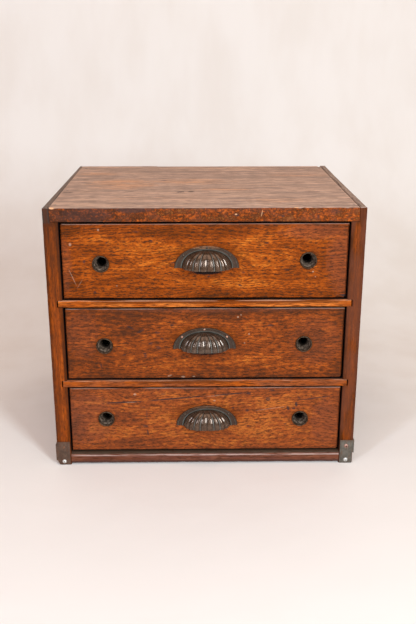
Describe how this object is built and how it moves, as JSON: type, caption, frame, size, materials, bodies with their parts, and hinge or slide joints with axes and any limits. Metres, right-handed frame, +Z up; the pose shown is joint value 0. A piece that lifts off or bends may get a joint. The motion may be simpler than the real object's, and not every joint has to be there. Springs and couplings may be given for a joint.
{
  "type": "tabletop chest of drawers",
  "caption": "Small oak chest with sliding drawers, fluted shell pulls, eyelets in the drawer fronts and iron corner straps, for tools, parts and papers on a table or bench.",
  "frame": {"origin": "on the floor, at the middle of the box round the whole chest with its pulls", "axes": "+Z up; +X to the right as seen from the front, across the chest; the drawer fronts and pulls face -Y"},
  "size_m": [0.4346, 0.3926, 0.379],
  "materials": {
    "case_oak": "old dark varnish on oak, worn at the edges",
    "top_oak": "bare, dry and greyed oak",
    "front_oak": "amber varnish on oak, darker at the edges",
    "shelf_oak": "worn amber varnish on the front edge",
    "drawer_wood": "unfinished, aged pale wood",
    "back_wood": "unfinished, dusty and darkened",
    "bronze": "dark patina with grey-green in the hollows",
    "strap_iron": "dull sheet iron, brown with age",
    "bright_steel": "bright domed heads",
    "nail_iron": "dark rusted heads",
    "copper": "coppery, part rusted heads"
  },
  "bodies": {
    "case": {"left_side": "case_oak", "right_side": "case_oak", "top_board": "top_oak", "bottom_board": "case_oak", "upper_shelf": "shelf_oak", "lower_shelf": "shelf_oak", "upper_back_board": "back_wood", "middle_back_board": "back_wood", "lower_back_board": "back_wood", "top_nails": "nail_iron", "left_side_nails": "nail_iron", "right_side_nails": "nail_iron", "back_nails": "nail_iron", "left_corner_strap": "strap_iron", "right_corner_strap": "strap_iron", "strap_screws": "bright_steel", "strap_nails": "copper", "strap_rivet": "copper"},
    "upper_drawer": {"upper_drawer_front": "front_oak", "upper_drawer_left_side": "drawer_wood", "upper_drawer_right_side": "drawer_wood", "upper_drawer_back": "drawer_wood", "upper_drawer_bottom": "drawer_wood", "upper_drawer_bottom_nails": "nail_iron", "upper_pull": "bronze", "upper_pull_pins": "copper", "upper_left_eyelet": "bronze", "upper_right_eyelet": "bronze"},
    "middle_drawer": {"middle_drawer_front": "front_oak", "middle_drawer_left_side": "drawer_wood", "middle_drawer_right_side": "drawer_wood", "middle_drawer_back": "drawer_wood", "middle_drawer_bottom": "drawer_wood", "middle_drawer_bottom_nails": "nail_iron", "middle_pull": "bronze", "middle_pull_pins": "copper", "middle_left_eyelet": "bronze", "middle_right_eyelet": "bronze"},
    "lower_drawer": {"lower_drawer_front": "front_oak", "lower_drawer_left_side": "drawer_wood", "lower_drawer_right_side": "drawer_wood", "lower_drawer_back": "drawer_wood", "lower_drawer_bottom": "drawer_wood", "lower_drawer_bottom_nails": "nail_iron", "lower_pull": "bronze", "lower_pull_pins": "copper", "lower_left_eyelet": "bronze", "lower_right_eyelet": "bronze"}
  },
  "joints": [
    {"name": "upper_drawer_slide", "type": "slide", "parent": "case", "child": "upper_drawer", "axis": [0, -1, 0], "range_m": [0, 0.28]},
    {"name": "middle_drawer_slide", "type": "slide", "parent": "case", "child": "middle_drawer", "axis": [0, -1, 0], "range_m": [0, 0.28]},
    {"name": "lower_drawer_slide", "type": "slide", "parent": "case", "child": "lower_drawer", "axis": [0, -1, 0], "range_m": [0, 0.28]}
  ]
}
